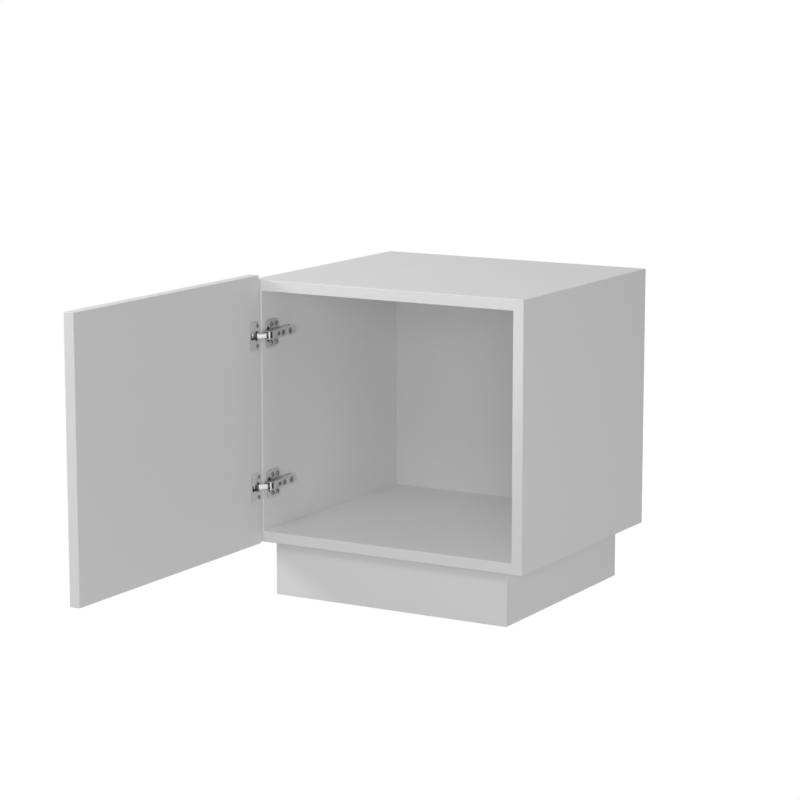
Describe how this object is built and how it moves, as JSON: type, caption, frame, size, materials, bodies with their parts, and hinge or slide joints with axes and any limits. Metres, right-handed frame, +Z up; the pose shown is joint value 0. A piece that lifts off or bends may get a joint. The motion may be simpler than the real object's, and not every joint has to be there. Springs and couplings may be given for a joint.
{
  "type": "storage side table with door",
  "caption": "Square white cabinet side table on a set-back plinth, with a flat door hung on the left by concealed hinges and an open storage space.",
  "frame": {"origin": "on the floor, under the middle of the front plinth board's thickness and of the cabinet's width", "axes": "+X to the right seen from the front, +Y to the back, +Z up; the door stands open at a right angle, towards -Y"},
  "size_m": [0.5227, 0.9912, 0.5585],
  "materials": {
    "white_lacquer": "fibreboard with satin white lacquer",
    "white_back": "fibreboard with matte white face",
    "tongue_hardboard": "bare hardboard",
    "block_softwood": "planed softwood",
    "nickel_steel": "nickel-plated pressed steel",
    "nickel_zinc": "nickel-plated casting",
    "steel_pin": "ground steel",
    "spring_steel": "spring steel strip",
    "screw_steel": "bright zinc plate"
  },
  "bodies": {
    "cabinet": {"back_panel": "white_back", "back_panel_screws": "screw_steel", "bottom_board": "white_lacquer", "corner_block_back_left": "block_softwood", "corner_block_back_right": "block_softwood", "corner_block_front_left": "block_softwood", "corner_block_front_right": "block_softwood", "corner_block_screws": "screw_steel", "left_side": "white_lacquer", "lower_arm": "nickel_steel", "lower_depth_screw": "screw_steel", "lower_link": "nickel_steel", "lower_link_rivets": "steel_pin", "lower_locating_pegs": "steel_pin", "lower_locking_screw": "screw_steel", "lower_mounting_plate": "nickel_zinc", "lower_overlay_screw": "screw_steel", "lower_plate_screws": "screw_steel", "plinth_back": "white_lacquer", "plinth_front": "white_lacquer", "plinth_left": "white_lacquer", "plinth_right": "white_lacquer", "right_side": "white_lacquer", "spline_bottom_left": "tongue_hardboard", "spline_bottom_right": "tongue_hardboard", "spline_top_left": "tongue_hardboard", "spline_top_right": "tongue_hardboard", "top_board": "white_lacquer", "upper_arm": "nickel_steel", "upper_depth_screw": "screw_steel", "upper_link": "nickel_steel", "upper_link_rivets": "steel_pin", "upper_locating_pegs": "steel_pin", "upper_locking_screw": "screw_steel", "upper_mounting_plate": "nickel_zinc", "upper_overlay_screw": "screw_steel", "upper_plate_screws": "screw_steel"},
    "door": {"door_panel": "white_lacquer", "upper_cup": "nickel_steel", "upper_cup_screws": "screw_steel", "upper_pivot_pin": "steel_pin", "upper_closing_spring": "spring_steel", "lower_cup": "nickel_steel", "lower_cup_screws": "screw_steel", "lower_pivot_pin": "steel_pin", "lower_closing_spring": "spring_steel"}
  },
  "joints": [
    {"name": "door_swing", "type": "hinge", "parent": "cabinet", "child": "door", "pos_m": [-0.2527, -0.0365, 0.322], "axis": [0, 0, 1], "range_deg": [-5, 90]}
  ]
}
